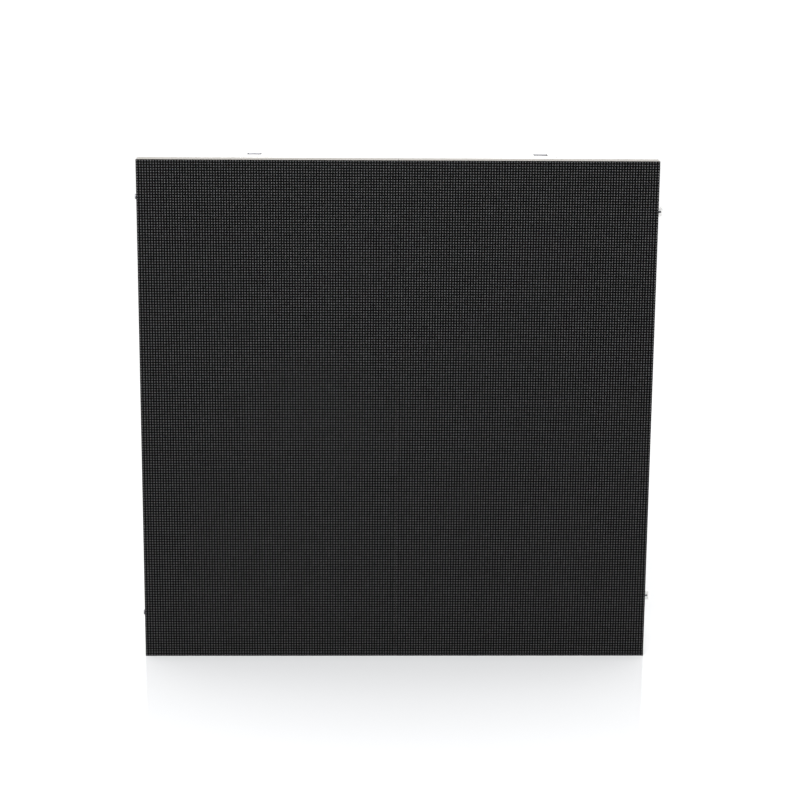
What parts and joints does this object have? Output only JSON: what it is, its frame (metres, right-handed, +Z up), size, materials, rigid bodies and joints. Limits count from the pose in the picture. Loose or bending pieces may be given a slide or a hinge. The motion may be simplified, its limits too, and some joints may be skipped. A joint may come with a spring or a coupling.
{
  "type": "rgb led matrix panel",
  "caption": "Square full-colour lamp panel for video walls: magnet-held modules on a die-cast frame with latches, dowels, back box and handle.",
  "frame": {"origin": "middle of the frame's flat bottom edge, halfway between the lamps' face and the frame's back", "axes": "+X to the right as seen from the front, +Y from the lamps to the back, +Z up"},
  "size_m": [0.5105, 0.0925, 0.5],
  "materials": {
    "mask_black": "matt moulded black",
    "lamp": "black lamp bodies with pale lenses",
    "circuit_board": "solder mask",
    "shell_grey": "light grey moulding",
    "chip_black": "moulded black",
    "connector_black": "moulded black",
    "magnet": "nickel plate",
    "zinc_steel": "zinc plate",
    "dark_steel": "oiled steel",
    "frame_paint": "white powder coat on die-cast aluminium",
    "tongue_metal": "pale coated zinc casting",
    "latch_black": "glass-filled plastic",
    "lever_black": "black powder coat",
    "grip_rubber": "ribbed rubber",
    "box_paint": "white powder coat",
    "seal_rubber": "foam rubber",
    "supply_case": "plain sheet",
    "post_brass": "turned brass",
    "lead_brown": "insulation",
    "button_red": "moulded red",
    "window_smoke": "smoked clear plastic",
    "lens_green": "clear green plastic",
    "socket_blue": "moulded blue",
    "socket_grey": "moulded light grey"
  },
  "bodies": {
    "cabinet": {"mask_top_left": "mask_black", "lamps_top_left": "lamp", "board_top_left": "circuit_board", "shell_top_left": "shell_grey", "mask_top_right": "mask_black", "lamps_top_right": "lamp", "board_top_right": "circuit_board", "shell_top_right": "shell_grey", "mask_bottom_left": "mask_black", "lamps_bottom_left": "lamp", "board_bottom_left": "circuit_board", "shell_bottom_left": "shell_grey", "mask_bottom_right": "mask_black", "lamps_bottom_right": "lamp", "board_bottom_right": "circuit_board", "shell_bottom_right": "shell_grey", "driver_chips": "chip_black", "module_plugs": "connector_black", "module_magnets": "magnet", "module_screws": "dark_steel", "cabinet_frame": "frame_paint", "dowel_pins": "dark_steel", "dowel_bushes": "tongue_metal", "keepers": "zinc_steel", "magnet_plates": "zinc_steel", "latch_housings": "latch_black", "handle": "lever_black", "handle_grip": "grip_rubber", "frame_screws": "dark_steel", "back_box": "box_paint", "back_cover": "box_paint", "cover_seal": "seal_rubber", "cover_screws": "zinc_steel", "power_supply": "supply_case", "control_card": "circuit_board", "hub_board": "circuit_board", "hub_sockets": "connector_black", "hub_header": "connector_black", "power_posts": "post_brass", "card_screws": "zinc_steel", "supply_leads": "lead_brown", "display_board": "circuit_board", "status_window": "window_smoke", "status_lenses": "lens_green", "power_inlet": "socket_blue", "power_outlet": "socket_grey", "data_sockets": "connector_black"},
    "lever_side_high": {"lever_side_high": "lever_black", "crank_side_high": "zinc_steel"},
    "tongue_side_high": {"tongue_side_high": "tongue_metal"},
    "lever_side_low": {"lever_side_low": "lever_black", "crank_side_low": "zinc_steel"},
    "tongue_side_low": {"tongue_side_low": "tongue_metal"},
    "lever_base_left": {"lever_base_left": "lever_black", "crank_base_left": "zinc_steel"},
    "tongue_base_left": {"tongue_base_left": "tongue_metal"},
    "lever_base_right": {"lever_base_right": "lever_black", "crank_base_right": "zinc_steel"},
    "tongue_base_right": {"tongue_base_right": "tongue_metal"},
    "test_button": {"test_button": "button_red"}
  },
  "joints": [
    {"name": "lever_side_high_turn", "type": "hinge", "parent": "cabinet", "child": "lever_side_high", "pos_m": [0.23, 0, 0.4465], "axis": [0, 1, 0], "range_deg": [0, 90]},
    {"name": "tongue_side_high_slide", "type": "slide", "parent": "cabinet", "child": "tongue_side_high", "axis": [-1, 0, 0], "range_m": [0, 0.008]},
    {"name": "lever_side_low_turn", "type": "hinge", "parent": "cabinet", "child": "lever_side_low", "pos_m": [0.23, 0, 0.0535], "axis": [0, -1, 0], "range_deg": [0, 90]},
    {"name": "tongue_side_low_slide", "type": "slide", "parent": "cabinet", "child": "tongue_side_low", "axis": [-1, 0, 0], "range_m": [0, 0.008]},
    {"name": "lever_base_left_turn", "type": "hinge", "parent": "cabinet", "child": "lever_base_left", "pos_m": [-0.139, 0, 0.02], "axis": [0, -1, 0], "range_deg": [0, 90]},
    {"name": "tongue_base_left_slide", "type": "slide", "parent": "cabinet", "child": "tongue_base_left", "axis": [0, 0, -1], "range_m": [0, 0.008]},
    {"name": "lever_base_right_turn", "type": "hinge", "parent": "cabinet", "child": "lever_base_right", "pos_m": [0.139, 0, 0.02], "axis": [0, 1, 0], "range_deg": [0, 90]},
    {"name": "tongue_base_right_slide", "type": "slide", "parent": "cabinet", "child": "tongue_base_right", "axis": [0, 0, -1], "range_m": [0, 0.008]},
    {"name": "test_button_press", "type": "slide", "parent": "cabinet", "child": "test_button", "axis": [0, -1, 0], "range_m": [0, 0.0015], "stiffness_N_per_m": 400, "springref_m": -0.0005}
  ],
  "couplings": [
    {"joint": "tongue_side_high_slide", "follows": "lever_side_high_turn", "m_per_rad": 0.005093},
    {"joint": "tongue_side_low_slide", "follows": "lever_side_low_turn", "m_per_rad": 0.005093},
    {"joint": "tongue_base_left_slide", "follows": "lever_base_left_turn", "m_per_rad": 0.005093},
    {"joint": "tongue_base_right_slide", "follows": "lever_base_right_turn", "m_per_rad": 0.005093}
  ]
}
